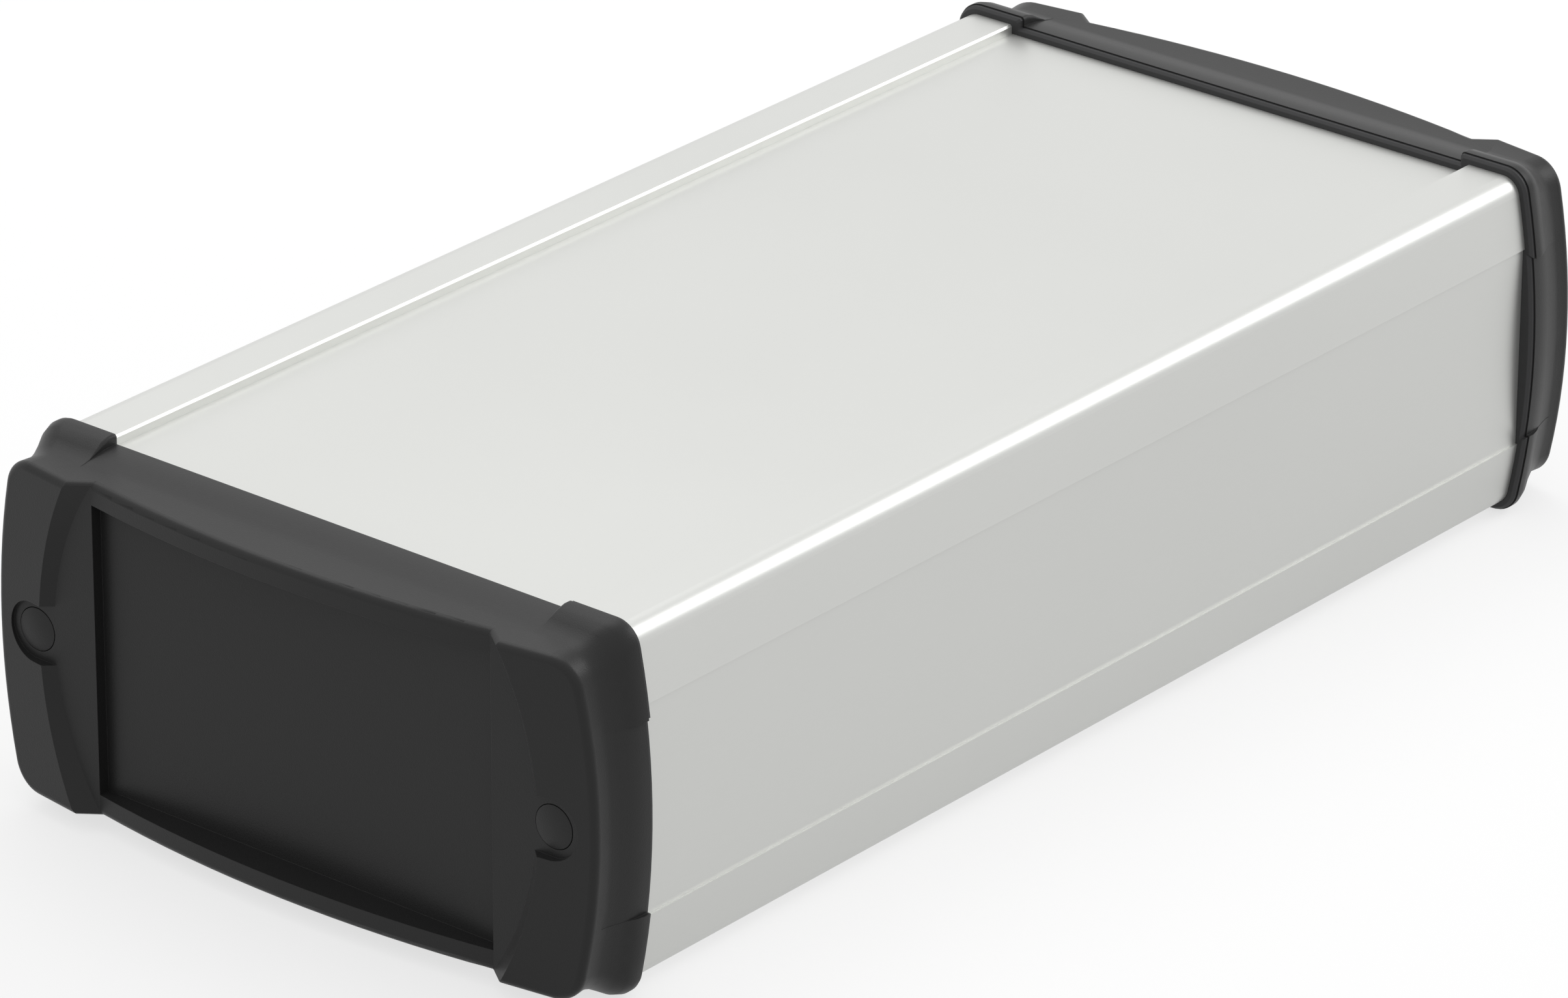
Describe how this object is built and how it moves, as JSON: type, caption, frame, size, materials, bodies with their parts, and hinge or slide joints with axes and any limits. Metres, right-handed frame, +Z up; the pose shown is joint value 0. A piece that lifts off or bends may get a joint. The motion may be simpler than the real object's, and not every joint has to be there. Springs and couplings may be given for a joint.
{
  "type": "extruded aluminium enclosure",
  "caption": "Long box-shaped electronics housing: an extruded aluminium tube with raised corner beads, closed at both ends by dark flared plastic caps with gaskets and screw covers",
  "frame": {"origin": "on the resting plane, under the middle of the housing", "axes": "+X across the width, +Y along the tube (the front cap looks towards -Y), +Z up"},
  "size_m": [0.1094, 0.225, 0.0548],
  "materials": {
    "anodised_aluminium": "satin",
    "cap_plastic": "matt, finely grained",
    "gasket_rubber": "matt",
    "screw_steel": "zinc plated"
  },
  "bodies": {
    "root": {"profile_tube": "anodised_aluminium", "front_end_cap": "cap_plastic", "front_gasket": "gasket_rubber", "front_left_screw": "screw_steel", "front_left_plug": "cap_plastic", "front_right_screw": "screw_steel", "front_right_plug": "cap_plastic", "rear_end_cap": "cap_plastic", "rear_gasket": "gasket_rubber", "rear_left_screw": "screw_steel", "rear_left_plug": "cap_plastic", "rear_right_screw": "screw_steel", "rear_right_plug": "cap_plastic"}
  },
  "joints": []
}
